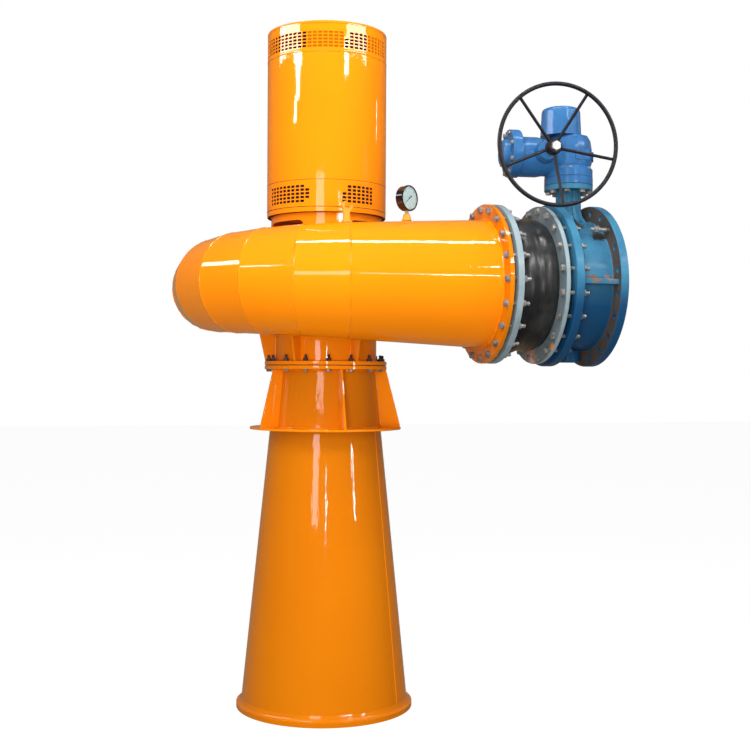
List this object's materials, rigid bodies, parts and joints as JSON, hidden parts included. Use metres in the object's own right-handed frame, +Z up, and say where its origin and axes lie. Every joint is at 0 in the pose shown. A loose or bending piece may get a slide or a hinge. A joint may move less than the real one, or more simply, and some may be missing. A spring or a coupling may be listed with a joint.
{
  "type": "kaplan turbine generating set",
  "caption": "Vertical Kaplan turbine generating set with scroll case, draft tube, rubber expansion joint and a butterfly inlet valve with a handwheel.",
  "frame": {"origin": "centre of the bounding box in plan, at the underside of the draft tube's base ring", "axes": "+Z up along the turbine's axis, +X along the inlet pipe towards the valve, -Y to the side with the handwheel"},
  "size_m": [1.7596, 1.476, 3.031],
  "materials": {
    "orange_paint": "glossy orange paint on steel",
    "bronze": "cast bronze",
    "bright_steel": "machined steel",
    "dark_housing": "dark enamel",
    "white_dial": "white dial behind a clear front",
    "brass": "dull brass",
    "black_rubber": "matt black rubber",
    "grey_paint": "light grey paint, worn and rusty in places",
    "valve_blue_paint": "blue paint on cast iron",
    "actuator_blue_paint": "blue paint on cast iron",
    "black_enamel": "glossy black enamel"
  },
  "bodies": {
    "turbine_set": {"actuator_flange": "actuator_blue_paint", "backing_ring_far": "grey_paint", "backing_ring_near": "grey_paint", "base_ring": "orange_paint", "bearing_housing": "orange_paint", "control_cover": "actuator_blue_paint", "control_flange": "actuator_blue_paint", "draft_tube": "orange_paint", "draft_tube_flange": "orange_paint", "flange_gasket": "black_rubber", "foundation_plate": "orange_paint", "gauge_boss": "orange_paint", "gauge_case": "dark_housing", "gauge_connector": "brass", "gauge_dial": "white_dial", "gear_housing": "actuator_blue_paint", "gear_housing_cover": "actuator_blue_paint", "generator_core": "dark_housing", "generator_foot": "orange_paint", "generator_shaft": "bright_steel", "generator_shell": "orange_paint", "generator_stand": "orange_paint", "generator_top_cover": "orange_paint", "head_cover": "orange_paint", "inlet_flange": "orange_paint", "inlet_pipe": "orange_paint", "lifting_eye": "orange_paint", "lower_guard": "orange_paint", "rubber_joint": "black_rubber", "runner_blade_1": "bronze", "runner_blade_2": "bronze", "runner_blade_3": "bronze", "runner_blade_4": "bronze", "runner_chamber": "orange_paint", "runner_hub": "bronze", "scroll_case": "orange_paint", "stay_ring": "orange_paint", "throat_flange": "orange_paint", "turbine_shaft": "bright_steel", "upper_guard": "orange_paint", "valve_body": "valve_blue_paint", "valve_disc": "bright_steel", "valve_lower_boss": "valve_blue_paint", "valve_neck": "valve_blue_paint", "valve_top_flange": "valve_blue_paint"},
    "handwheel": {"handwheel_rim": "black_enamel", "handwheel_spider": "black_enamel", "handwheel_nut": "bright_steel", "handwheel_shaft": "bright_steel"}
  },
  "joints": [
    {"name": "handwheel_turn", "type": "hinge", "parent": "turbine_set", "child": "handwheel", "pos_m": [0.6173, -0.5528, 2.4412], "axis": [-0.0941, -0.9956, 0], "continuous": true}
  ]
}
